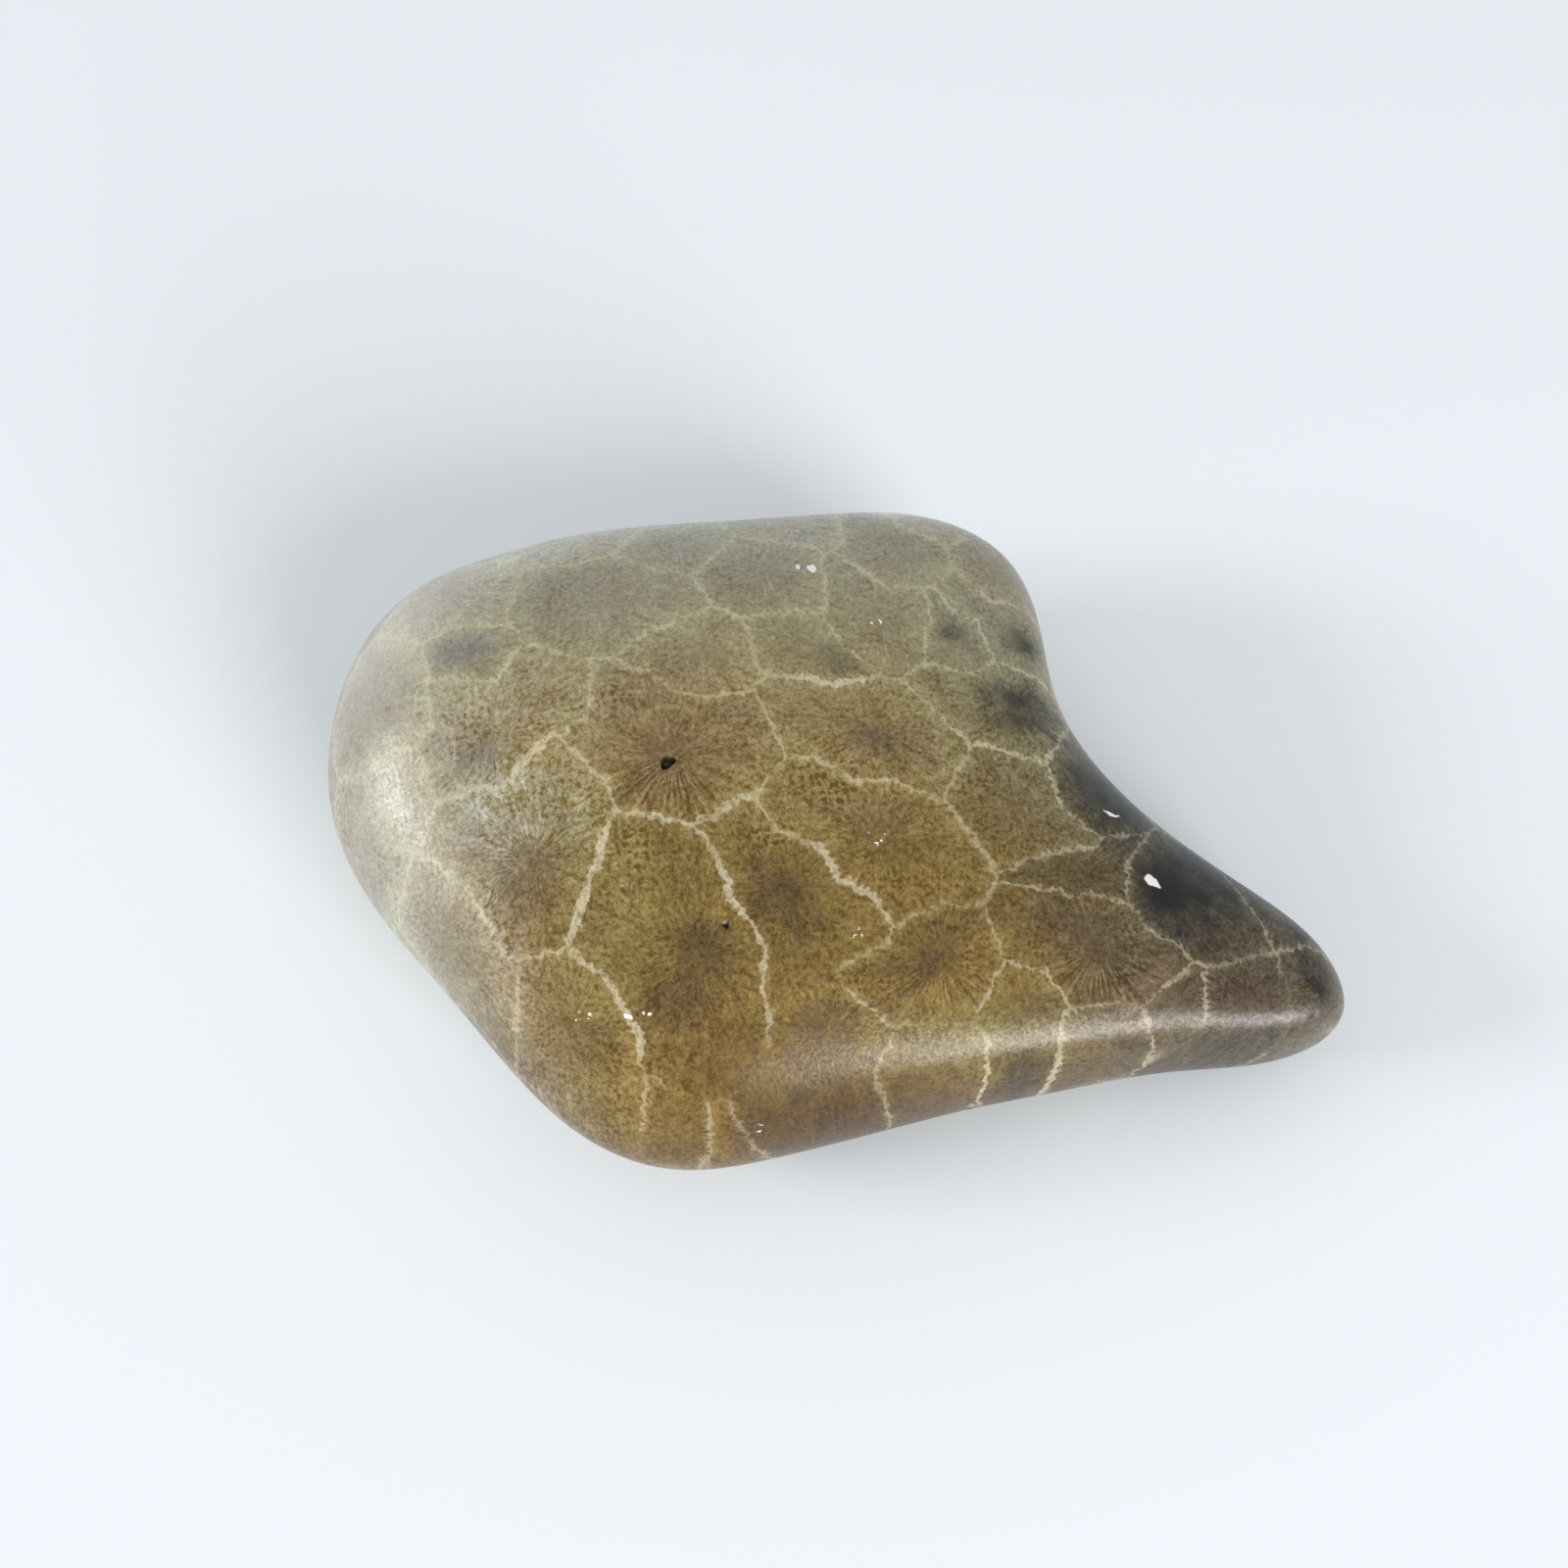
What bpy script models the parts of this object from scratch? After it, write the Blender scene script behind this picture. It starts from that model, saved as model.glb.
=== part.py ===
"""A polished Petoskey stone: one solid pebble of fossil coral limestone.

The stone is a thick, rounded body that narrows to a blunt tail, with a hollow
flank between the two and a long, firm shoulder over its front wall.  It is
built as a coarse cage of stations round its plan outline, one section for each,
and smoothed with Subdivision Surface.  The underside carries a flat that the
stone stands on.

Frame: metres, +Z up, the origin under the middle of the stone on its flat.
+X runs towards the tail, along the stone's longest side.
"""

import math

import bmesh
import bpy
import numpy as np

MM = 0.001

# ---- Driving dimensions, in millimetres --------------------------------------

LENGTH = 81.7            # over all, body to tail; every other size goes with it
DRAWN_LENGTH = 81.7      # the length at which the sizes below are drawn
DRAWN_MIDDLE = (1.0, -0.6, 0.0)   # the middle of the drawn stone, on its flat
SMOOTHING_LEVELS = 2

# Stations round the widest line, seen from above, anticlockwise from the tip of
# the tail.  x and y place the station, and the side stands upright at its height.
# The top, followed outwards, would meet the side at the edge height; the shoulder
# rounds that edge off over the given reach.
STATIONS = [
    # x, y, height, edge, reach
    (42.0, -19.0, 6.5, 11.5, 4.0),     # tip of the tail
    (40.5, -14.0, 6.5, 11.5, 5.5),
    (36.5, -9.5, 7.0, 12.0, 7.0),
    (31.0, -4.5, 7.5, 13.0, 8.0),      # hollow flank
    (26.0, 1.0, 8.5, 15.0, 9.0),
    (22.5, 8.0, 10.0, 17.0, 10.0),
    (22.0, 16.0, 11.0, 18.5, 11.0),
    (19.5, 23.0, 12.0, 19.0, 12.0),    # back corner
    (13.0, 27.0, 12.5, 20.0, 13.0),
    (5.0, 28.0, 12.5, 20.5, 14.0),     # long back
    (-3.0, 28.0, 12.5, 20.5, 14.0),
    (-11.0, 28.0, 12.5, 21.0, 14.0),
    (-19.0, 27.5, 12.5, 21.0, 14.0),
    (-26.5, 25.5, 12.5, 21.0, 13.0),
    (-33.0, 22.5, 12.5, 21.0, 12.0),
    (-38.0, 16.5, 12.5, 21.0, 11.5),   # far end of the body
    (-40.0, 9.0, 12.5, 21.0, 11.0),
    (-39.5, 1.0, 12.5, 21.0, 10.0),
    (-36.0, -6.5, 12.0, 20.5, 9.5),    # left flank
    (-31.0, -13.0, 11.5, 20.0, 9.5),
    (-26.0, -19.5, 11.0, 19.0, 10.0),
    (-20.3, -25.7, 10.5, 18.0, 10.5),
    (-13.0, -29.0, 9.5, 17.0, 10.0),   # front corner
    (-5.0, -28.5, 8.5, 16.5, 8.0),
    (3.0, -27.0, 7.5, 16.0, 5.5),
    (11.0, -25.5, 7.0, 15.0, 3.5),     # front wall, under its firm shoulder
    (19.0, -24.5, 6.5, 14.0, 3.0),
    (27.0, -23.7, 6.5, 13.0, 2.5),
    (34.5, -23.7, 6.5, 12.5, 2.5),
    (40.0, -22.2, 6.5, 12.0, 2.5),
]

# The crown: the line along the top from the tail to the far end of the body.
CROWN = [
    # x, y, height
    (36.0, -17.5, 12.5),
    (20.0, -11.0, 17.0),
    (5.0, -4.0, 22.5),
    (-8.0, 2.0, 25.5),
    (-16.0, 5.5, 26.0),
    (-22.0, 7.5, 26.0),
]

# Rings of the cage: angles round the shoulder and the underside, and shares of
# the way from the shoulder's inner end to the crown.
SHOULDER_ANGLES = (0.0, 28.0, 56.0, 90.0)
BROW_SHARES = (0.5,)
BOTTOM_ANGLES = (30.0, 62.0, 90.0)

FLAT_SHARE = 0.55        # where the flat ends, from the crown's line outwards
INNER_FLAT_SHARE = 0.34  # the ring inside that, which keeps the middle flat
BOTTOM_FULLNESS = 2.2    # of the section below the widest line; 2 is an ellipse
TAIL_LIFT = 2.6          # how far the tail's underside clears the ground
TAIL_LIFT_ENDS = 0.36    # share of the crown's length by which it has come down

STONE_COLOUR = (0.34, 0.27, 0.17)
STONE_ROUGHNESS = 0.22


# ---- The lines that the cage hangs on ----------------------------------------------

def crown_point(share):
    """The point of the crown line at this share of its length, from the tail."""
    points = np.array(CROWN)
    steps = np.linalg.norm(np.diff(points[:, :2], axis=0), axis=1)
    run = np.concatenate(([0.0], np.cumsum(steps))) / steps.sum()
    return np.array([np.interp(share, run, points[:, k]) for k in range(3)])


def crown_share(number):
    """Where on the crown line a station's section ends, 0 at the tail."""
    across = min(number, len(STATIONS) - number)
    last = len(STATIONS) // 2 - 1
    return float(np.clip((across - 1) / (last - 1), 0.0, 1.0))


def lift(share):
    """Height of the underside: on the ground under the body, raised at the tail."""
    left = max(0.0, 1.0 - share / TAIL_LIFT_ENDS)
    return TAIL_LIFT * left * left


# ---- The cage ---------------------------------------------------------------------

def ring(place):
    """One closed ring of the cage; place(number) gives (share outwards, height)."""
    points = []
    for number, station in enumerate(STATIONS):
        foot = crown_point(crown_share(number))[:2]
        share, height = place(number)
        across = foot + (np.array(station[:2]) - foot) * share
        points.append([across[0], across[1], height])
    return swollen(np.array(points))


def swollen(points):
    """Moves a ring outwards so that the smoothed ring passes through its points."""
    count = len(points)
    smoothing = np.eye(count) * 4 / 6
    for step in (-1, 1):
        smoothing += np.roll(np.eye(count), step, axis=1) / 6
    points[:, :2] = np.linalg.solve(smoothing, points[:, :2])
    return points


def top_height(number, inwards, rounding):
    """Height of the top, this share of the way in, with the shoulder's rounding."""
    _, _, height, edge, _ = STATIONS[number]
    crown = crown_point(crown_share(number))[2]
    sweep = inwards * (2.0 - inwards)
    return height + (edge - height) * rounding + (crown - edge) * sweep


def shoulder_share(number):
    """The shoulder's reach, as a share of the way from the side to the crown."""
    x, y, _, _, reach = STATIONS[number]
    foot = crown_point(crown_share(number))[:2]
    return min(reach / math.dist((x, y), foot), 0.8)


def shoulder_ring(angle):
    turn = math.radians(angle)

    def place(number):
        inwards = shoulder_share(number) * (1.0 - math.cos(turn))
        return 1.0 - inwards, top_height(number, inwards, math.sin(turn))
    return ring(place)


def brow_ring(share):
    def place(number):
        start = shoulder_share(number)
        inwards = start + (1.0 - start) * share
        return 1.0 - inwards, top_height(number, inwards, 1.0)
    return ring(place)


def bottom_ring(angle):
    turn = math.radians(angle)
    out = max(math.cos(turn), 0.0) ** (2.0 / BOTTOM_FULLNESS)
    down = math.sin(turn) ** (2.0 / BOTTOM_FULLNESS)

    def place(number):
        height = STATIONS[number][2]
        low = lift(crown_share(number))
        return FLAT_SHARE + (1 - FLAT_SHARE) * out, height - (height - low) * down
    return ring(place)


def inner_flat_ring():
    return ring(lambda number: (INNER_FLAT_SHARE, lift(crown_share(number))))


def spine(height_of):
    """The middle row of a cap, along the crown line from tail to far end."""
    columns = len(STATIONS) // 2 - 1
    points = []
    for column in range(1, columns - 1):
        share = column / (columns - 1)
        x, y, _ = crown_point(share)
        points.append([x, y, height_of(share)])
    return np.array(points)


def add_cap(mesh, loop, row, upwards):
    """Closes a ring with a grid two quads wide whose middle row is the spine."""
    count = len(loop)
    middle = [loop[0], *row, loop[count // 2]]
    for column in range(len(middle) - 1):
        for side, step in ((column + 1, 1), (count - column - 1, -1)):
            quad = [middle[column], loop[side], loop[side + step], middle[column + 1]]
            if (step == 1) == upwards:
                quad.reverse()
            mesh.faces.new(quad)


def in_place(point):
    """A drawn point in metres, at the stone's own size and in its frame."""
    return (point - np.array(DRAWN_MIDDLE)) * (MM * LENGTH / DRAWN_LENGTH)


def build_cage():
    rings = [inner_flat_ring()]
    rings += [bottom_ring(angle) for angle in reversed(BOTTOM_ANGLES)]
    rings += [shoulder_ring(angle) for angle in SHOULDER_ANGLES]
    rings += [brow_ring(share) for share in BROW_SHARES]

    mesh = bmesh.new()
    loops = [[mesh.verts.new(in_place(point)) for point in points] for points in rings]
    for lower, upper in zip(loops, loops[1:]):
        for number in range(len(lower)):
            beside = (number + 1) % len(lower)
            mesh.faces.new([lower[number], lower[beside], upper[beside], upper[number]])

    top_row = spine(lambda share: crown_point(share)[2])
    low_row = spine(lift)
    add_cap(mesh, loops[-1], [mesh.verts.new(in_place(p)) for p in top_row], True)
    add_cap(mesh, loops[0], [mesh.verts.new(in_place(p)) for p in low_row], False)
    bmesh.ops.recalc_face_normals(mesh, faces=mesh.faces)
    return mesh


# ---- The stone ----------------------------------------------------------------------

def stone_material():
    material = bpy.data.materials.new("polished_coral_limestone")
    material.use_nodes = True
    shader = material.node_tree.nodes["Principled BSDF"]
    shader.inputs["Base Color"].default_value = (*STONE_COLOUR, 1.0)
    shader.inputs["Roughness"].default_value = STONE_ROUGHNESS
    shader.inputs["Metallic"].default_value = 0.0
    return material


def build_stone(collection):
    cage = build_cage()
    data = bpy.data.meshes.new("stone")
    cage.to_mesh(data)
    cage.free()
    data.materials.append(stone_material())
    data.shade_smooth()
    stone = bpy.data.objects.new("stone", data)
    collection.objects.link(stone)
    smoothing = stone.modifiers.new("smoothing", "SUBSURF")
    smoothing.levels = SMOOTHING_LEVELS
    smoothing.render_levels = SMOOTHING_LEVELS
    return stone


def clear_scene():
    for old in list(bpy.data.objects):
        bpy.data.objects.remove(old, do_unlink=True)


def main():
    clear_scene()
    collection = bpy.data.collections.new("petoskey_stone")
    bpy.context.scene.collection.children.link(collection)
    build_stone(collection)


main()
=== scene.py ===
# %% [markdown]
# # A polished Petoskey stone
# A Petoskey stone is a piece of fossil coral, rounded by the lake and then polished.  This
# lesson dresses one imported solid: it smooths the pebble, pits its skin, and grows the coral
# pattern through it as a solid texture, so that every side and the underside show the same
# columns that the top does.  Nothing on a pebble moves, so everything rides on one body.

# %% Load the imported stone
import math

import bmesh
import bpy
import numpy as np
from mathutils import Matrix, Vector
from mathutils.bvhtree import BVHTree


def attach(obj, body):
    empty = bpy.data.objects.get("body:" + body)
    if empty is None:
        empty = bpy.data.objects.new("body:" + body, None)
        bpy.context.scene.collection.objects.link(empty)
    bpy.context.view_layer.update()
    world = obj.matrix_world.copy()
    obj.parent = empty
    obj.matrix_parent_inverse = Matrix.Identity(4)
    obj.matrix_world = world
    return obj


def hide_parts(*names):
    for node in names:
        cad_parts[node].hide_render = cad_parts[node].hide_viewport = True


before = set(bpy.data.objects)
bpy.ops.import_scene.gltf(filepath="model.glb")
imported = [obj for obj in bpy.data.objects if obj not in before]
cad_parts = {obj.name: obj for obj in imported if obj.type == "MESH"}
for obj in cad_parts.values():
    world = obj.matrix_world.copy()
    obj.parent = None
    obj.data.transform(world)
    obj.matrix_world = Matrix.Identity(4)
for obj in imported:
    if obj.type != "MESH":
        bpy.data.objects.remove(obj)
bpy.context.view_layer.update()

MM = 0.001

# %% [markdown]
# ## The camera
# The stone is seen from in front and well above, from about a hand's reach away, so near
# edges look larger than far ones.  A close camera with a normal lens gives that; a far one
# with a long lens would flatten it.  The camera is turned with two plain rotations: first
# tipped back from looking straight down, then rolled a little round its own line of sight.

# %% Place the camera
CAMERA_PLACE = Vector((-2.6, -52.1, 124.3)) * MM
CAMERA_TIP = math.radians(25.96)     # up from looking straight down
CAMERA_ROLL = math.radians(-4.90)
CAMERA_LENS = 34.15                  # on a sensor 36 mm wide

camera_data = bpy.data.cameras.new("camera")
camera_data.lens = CAMERA_LENS
camera_data.sensor_width = 36.0
camera_data.clip_start = 0.005
camera_data.clip_end = 20.0
camera = bpy.data.objects.new("camera", camera_data)
bpy.context.scene.collection.objects.link(camera)
camera.matrix_world = (Matrix.Translation(CAMERA_PLACE)
                       @ Matrix.Rotation(CAMERA_TIP, 4, "X")
                       @ Matrix.Rotation(CAMERA_ROLL, 4, "Z"))
bpy.context.scene.camera = camera
bpy.context.scene.view_settings.view_transform = "Standard"
print("Camera looks down at", round(90 - math.degrees(CAMERA_TIP), 1), "degrees")

# %% [markdown]
# ## Floor and light
# A pale floor and an even white sky show a polished stone best, since its skin mirrors what
# is round it.  Two small soft lamps draw the bright band along the front shoulder and the
# glow on the left end.  They stay weak, so that a colour renders about as it is written.

# %% Lay the floor
FLOOR_HALF = 3.0
FLOOR_COLOUR = (0.76, 0.80, 0.83, 1.0)
FLOOR_ROUGHNESS = 0.9

floor_data = bpy.data.meshes.new("floor")
floor_data.from_pydata([(-FLOOR_HALF, -FLOOR_HALF, 0.0), (FLOOR_HALF, -FLOOR_HALF, 0.0),
                        (FLOOR_HALF, FLOOR_HALF, 0.0), (-FLOOR_HALF, FLOOR_HALF, 0.0)],
                       [], [(0, 1, 2, 3)])
floor = bpy.data.objects.new("floor", floor_data)
bpy.context.scene.collection.objects.link(floor)
floor_paper = bpy.data.materials.new("pale_paper")
floor_paper.use_nodes = True
paper_shader = floor_paper.node_tree.nodes["Principled BSDF"]
paper_shader.inputs["Base Color"].default_value = FLOOR_COLOUR
paper_shader.inputs["Roughness"].default_value = FLOOR_ROUGHNESS
floor_data.materials.append(floor_paper)

# %% Light the stone
SKY_COLOUR = (0.97, 0.985, 1.0, 1.0)
SKY_STRENGTH = 0.58
STONE_MIDDLE = Vector((0.0, 0.0, 0.012))

world = bpy.data.worlds.new("white_room")
world.use_nodes = True
sky = world.node_tree.nodes["Background"]
sky.inputs["Color"].default_value = SKY_COLOUR
sky.inputs["Strength"].default_value = SKY_STRENGTH
bpy.context.scene.world = world


def soft_lamp(name, place, width, height, power):
    """An area lamp aimed at the middle of the stone."""
    data = bpy.data.lights.new(name, "AREA")
    data.shape = "RECTANGLE"
    data.size, data.size_y, data.energy = width, height, power
    lamp = bpy.data.objects.new(name, data)
    bpy.context.scene.collection.objects.link(lamp)
    aim = STONE_MIDDLE - Vector(place)
    lamp.matrix_world = (Matrix.Translation(place)
                         @ aim.to_track_quat("-Z", "Y").to_matrix().to_4x4())
    print(name, "stands", round(aim.length, 2), "m off with", power, "W")


soft_lamp("left_lamp", (-0.90, 0.00, 0.40), 0.36, 0.28, 5.0)
soft_lamp("front_lamp", (0.50, -0.79, 0.38), 0.47, 0.62, 10.2)

# %% [markdown]
# ## The pebble itself
# Tumbling leaves no edges, so the pebble has to be smooth however close one looks.  The
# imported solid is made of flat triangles.  They are joined back into the four-sided faces
# that Subdivision Surface likes, and two more levels of it round the skin off.  Remeshing
# would do it too, but would lose the true flat that the stone rests on.

# %% Join the triangles into quads and smooth them
SKIN_LEVELS = 2
MERGE_WITHIN = 1e-6
QUAD_ANGLE = math.radians(40)


def smooth_copy(node):
    """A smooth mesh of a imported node, with its loose triangles merged first."""
    shell = bmesh.new()
    shell.from_mesh(node.data)
    bmesh.ops.remove_doubles(shell, verts=shell.verts, dist=MERGE_WITHIN)
    bmesh.ops.join_triangles(shell, faces=shell.faces, angle_face_threshold=QUAD_ANGLE,
                             angle_shape_threshold=QUAD_ANGLE)
    data = bpy.data.meshes.new("pebble")
    shell.to_mesh(data)
    shell.free()
    data.materials.clear()
    data.shade_smooth()
    pebble = bpy.data.objects.new("pebble", data)
    bpy.context.scene.collection.objects.link(pebble)
    smoothing = pebble.modifiers.new("smoothing", "SUBSURF")
    smoothing.levels = smoothing.render_levels = SKIN_LEVELS
    return pebble


def applied(piece, name):
    """A plain mesh of what a piece's modifiers make."""
    graph = bpy.context.evaluated_depsgraph_get()
    made = bpy.data.meshes.new_from_object(piece.evaluated_get(graph))
    made.name = name
    return made


pebble = smooth_copy(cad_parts["stone"])
skin_mesh = applied(pebble, "skin")
bpy.data.objects.remove(pebble)
four_sided = sum(len(face.vertices) == 4 for face in skin_mesh.polygons)
print("The skin has", len(skin_mesh.polygons), "faces,", four_sided, "of them four-sided")

# %% [markdown]
# ## Open pits
# The largest flaw on top is a black hole about a millimetre wide, where a mineral grain fell
# out, and a few smaller ones lie round it.  A dark dot painted on would not catch the
# light, so the skin is divided more finely just there and its points are pushed in.  Each
# pit is found by dropping a line onto the skin from above, so it always sits on the stone.
# The deeper pits' floors are also painted black, as painted shade in the hole.

# %% Sink the pits
PITS = [
    # x, y, half length, half width, turn in degrees, depth in mm, how dark its floor is painted,
    # as shade in the hole
    (-11.2, -0.9, 0.50, 0.40, 20, 1.10, 1.0),
    (-7.7, -13.2, 0.25, 0.16, 10, 0.30, 0.9),
    (-14.8, -10.0, 0.36, 0.26, -20, 0.20, 0.5),
    (-25.2, -9.4, 0.60, 0.28, 60, 0.22, 0.3),
    (-25.0, -11.8, 0.55, 0.30, 70, 0.22, 0.3),
    (-24.0, -13.0, 0.50, 0.32, 50, 0.22, 0.3),
    (-33.0, 6.6, 0.22, 0.22, 0, 0.12, 0.4),
]
FINE_CUTS = 3
PIT_MARGIN = 1.3 * MM
RAGGEDNESS = 0.22       # how far a pit's rim strays from an oval
RIM_TOP, RIM_SLOPE = 1.25, 0.55      # where the rim starts, and how wide its slope is


def sink_pits(mesh, pits):
    """Sinks the pits and returns their floors: x, y, z, sizes, turn and the painted shade of the
    floor.
    """
    floors = []
    skin = bmesh.new()
    skin.from_mesh(mesh)
    for x, y, half_length, half_width, turn, depth, floor_shade in pits:
        ground = BVHTree.FromBMesh(skin).ray_cast(Vector((x * MM, y * MM, 1.0)),
                                                  Vector((0, 0, -1)))[0]
        floors.append((x, y, ground.z / MM, half_length, half_width, turn, floor_shade))
        reach = half_length * MM + PIT_MARGIN
        near = [edge for edge in skin.edges
                if all((v.co - ground).length < reach for v in edge.verts)]
        bmesh.ops.subdivide_edges(skin, edges=near, cuts=FINE_CUTS, use_grid_fill=True)
        skin.normal_update()
        along = Matrix.Rotation(math.radians(turn), 3, "Z") @ Vector((1, 0, 0))
        moves = []
        for v in skin.verts:
            off = v.co - ground
            if off.length > reach:
                continue
            a = off.dot(along) / (half_length * MM)
            b = off.dot(along.cross(Vector((0, 0, 1)))) / (half_width * MM)
            ragged = 1.0 + RAGGEDNESS * math.sin(3 * math.atan2(b, a) + turn)
            rim = math.hypot(a, b) / ragged
            inside = min(max((RIM_TOP - rim) / RIM_SLOPE, 0.0), 1.0)
            moves.append((v, -v.normal * depth * MM * inside * inside * (3 - 2 * inside)))
        for v, move in moves:
            v.co += move
    crooked = [face for face in skin.faces if len(face.verts) > 4]
    bmesh.ops.triangulate(skin, faces=crooked)
    skin.to_mesh(mesh)
    skin.free()
    return floors


pit_floors = sink_pits(skin_mesh, PITS)
skin_mesh.shade_smooth()
print(len(PITS), "pits sunk; the skin now has", len(skin_mesh.polygons), "faces")

# %% [markdown]
# ## Wiring helpers
# The skin and the finish are both made by trees of nodes, and a tree that follows a rule
# soon holds hundreds.  They could be placed and joined one by one, but a small class keeps
# the making readable: each call adds one node, joins its inputs and hands back its output.

# %% Make a wiring kit
class Wiring:
    """Adds nodes to a tree in rows, from left to right."""

    ROW_LENGTH = 40
    COLUMN_WIDTH, ROW_HEIGHT = 180, 220

    def __init__(self, tree):
        self.tree = tree
        self.count = 0

    def node(self, kind, **settings):
        made = self.tree.nodes.new(kind)
        column, row = self.count % self.ROW_LENGTH, self.count // self.ROW_LENGTH
        made.location = (column * self.COLUMN_WIDTH, -row * self.ROW_HEIGHT)
        self.count += 1
        for key, value in settings.items():
            setattr(made, key, value)
        return made

    def join(self, value, socket):
        if isinstance(value, bpy.types.NodeSocket):
            self.tree.links.new(value, socket)
        elif isinstance(value, (tuple, list)) and socket.type == "RGBA":
            socket.default_value = (*value, 1.0)[:4]
        else:
            socket.default_value = value

    def number(self, operation, a, b=0.0, c=None, clamp=False):
        made = self.node("ShaderNodeMath", operation=operation, use_clamp=clamp)
        self.join(a, made.inputs[0])
        self.join(b, made.inputs[1])
        if c is not None:
            self.join(c, made.inputs[2])
        return made.outputs[0]

    def vector(self, operation, a, b=None, scale=None):
        made = self.node("ShaderNodeVectorMath", operation=operation)
        self.join(a, made.inputs[0])
        if b is not None:
            self.join(b, made.inputs[1])
        if scale is not None:
            self.join(scale, made.inputs["Scale"])
        scalar = operation in ("DOT_PRODUCT", "DISTANCE", "LENGTH")
        return made.outputs["Value" if scalar else "Vector"]

    def pick(self, share, a, b):
        """Vector a where share is 0, b where it is 1."""
        made = self.node("ShaderNodeMix", data_type="VECTOR", clamp_factor=False)
        self.join(share, made.inputs[0])
        self.join(a, made.inputs[4])
        self.join(b, made.inputs[5])
        return made.outputs[1]

    def blend(self, share, a, b):
        """Colour a where share is 0, b where it is 1."""
        made = self.node("ShaderNodeMix", data_type="RGBA")
        self.join(share, made.inputs[0])
        self.join(a, made.inputs[6])
        self.join(b, made.inputs[7])
        return made.outputs[2]

    def step(self, value, low, high, to_low=0.0, to_high=1.0):
        """A smooth step between two values."""
        made = self.node("ShaderNodeMapRange", interpolation_type="SMOOTHSTEP")
        for number, item in enumerate((value, low, high, to_low, to_high)):
            self.join(item, made.inputs[number])
        return made.outputs[0]

    def attribute(self, name):
        """Three numbers that the mesh holds under this name."""
        return self.node("ShaderNodeAttribute", attribute_name=name).outputs["Vector"]

    def split(self, value):
        made = self.node("ShaderNodeSeparateXYZ")
        self.join(value, made.inputs[0])
        return made.outputs

    def gather(self, x, y, z):
        made = self.node("ShaderNodeCombineXYZ")
        for number, item in enumerate((x, y, z)):
            self.join(item, made.inputs[number])
        return made.outputs[0]

    def noise(self, place, size, detail=2.0, roughness=0.5):
        """Soft noise whose features are about this many millimetres across."""
        made = self.node("ShaderNodeTexNoise")
        made.inputs["Scale"].default_value = 1.0 / size
        made.inputs["Detail"].default_value = detail
        made.inputs["Roughness"].default_value = roughness
        self.join(place, made.inputs["Vector"])
        return made.outputs


print("Wiring kit ready")

# %% [markdown]
# ## The polished skin
# Hand polishing leaves a skin that is not quite even: it ripples by a few hundredths of a
# millimetre, and small dimples stay where the coral was softer.  Both follow one rule all
# over the stone, so a Geometry Nodes tree makes them: points are scattered on the skin with
# a fixed seed, and every spot near one is pushed in a little.  The tree only ever pushes
# inwards, so the stone can't outgrow its solid.

# %% Build the skin's tree
SKIN_SIZES = {
    "Ripple Height": 0.05 * MM,
    "Ripple Length": 7.0 * MM,
    "Dimple Depth": 0.10 * MM,
    "Dimple Width": 0.75 * MM,
    "Dimples per Area": 16000.0,
    "Seed": 11,
}
FLAT_FADE = 2.0 * MM    # height over which the push fades in


def skin_tree(finish):
    """A tree that ripples and dimples a skin, inwards only, and gives it its finish."""
    tree = bpy.data.node_groups.new("polished_skin", "GeometryNodeTree")
    face = tree.interface
    face.new_socket("Geometry", in_out="INPUT", socket_type="NodeSocketGeometry")
    for name, value in SKIN_SIZES.items():
        kind = "NodeSocketInt" if isinstance(value, int) else "NodeSocketFloat"
        face.new_socket(name, in_out="INPUT", socket_type=kind)
    face.new_socket("Geometry", in_out="OUTPUT", socket_type="NodeSocketGeometry")
    kit = Wiring(tree)
    given = kit.node("NodeGroupInput").outputs

    scatter = kit.node("GeometryNodeDistributePointsOnFaces", distribute_method="RANDOM")
    kit.join(given["Geometry"], scatter.inputs["Mesh"])
    kit.join(given["Dimples per Area"], scatter.inputs["Density"])
    kit.join(given["Seed"], scatter.inputs["Seed"])
    nearness = kit.node("GeometryNodeProximity", target_element="POINTS")
    kit.join(scatter.outputs["Points"], nearness.inputs["Geometry"])
    share = kit.number("DIVIDE", nearness.outputs["Distance"], given["Dimple Width"])
    hollow = kit.number("MAXIMUM", kit.number("SUBTRACT", 1.0, share), 0.0)
    hollow = kit.number("MULTIPLY", kit.number("POWER", hollow, 2.0), given["Dimple Depth"])

    place = kit.node("GeometryNodeInputPosition").outputs[0]
    ripple = kit.node("ShaderNodeTexNoise")
    ripple.inputs["Detail"].default_value = 2.0
    kit.join(place, ripple.inputs["Vector"])
    kit.join(kit.number("DIVIDE", 1.0, given["Ripple Length"]), ripple.inputs["Scale"])
    low = kit.number("MULTIPLY", ripple.outputs[0], given["Ripple Height"])
    depth = kit.number("ADD", hollow, low)

    # The flat underneath stays flat: the push fades out near the ground.
    off_ground = kit.number("MULTIPLY", kit.split(place)["Z"], 1.0 / FLAT_FADE)
    depth = kit.number("MULTIPLY", depth, kit.number("MINIMUM", off_ground, 1.0))
    outwards = kit.node("GeometryNodeInputNormal").outputs[0]
    push = kit.vector("SCALE", outwards, scale=kit.number("MULTIPLY", depth, -1.0))

    press = kit.node("GeometryNodeSetPosition")
    kit.join(given["Geometry"], press.inputs["Geometry"])
    kit.join(push, press.inputs["Offset"])
    whole = kit.node("GeometryNodeRealizeInstances")
    kit.join(press.outputs[0], whole.inputs[0])
    coat = kit.node("GeometryNodeSetMaterial")
    kit.join(whole.outputs[0], coat.inputs["Geometry"])
    kit.join(finish, coat.inputs["Material"])
    kit.join(coat.outputs[0], kit.node("NodeGroupOutput").inputs[0])
    return tree


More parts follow.
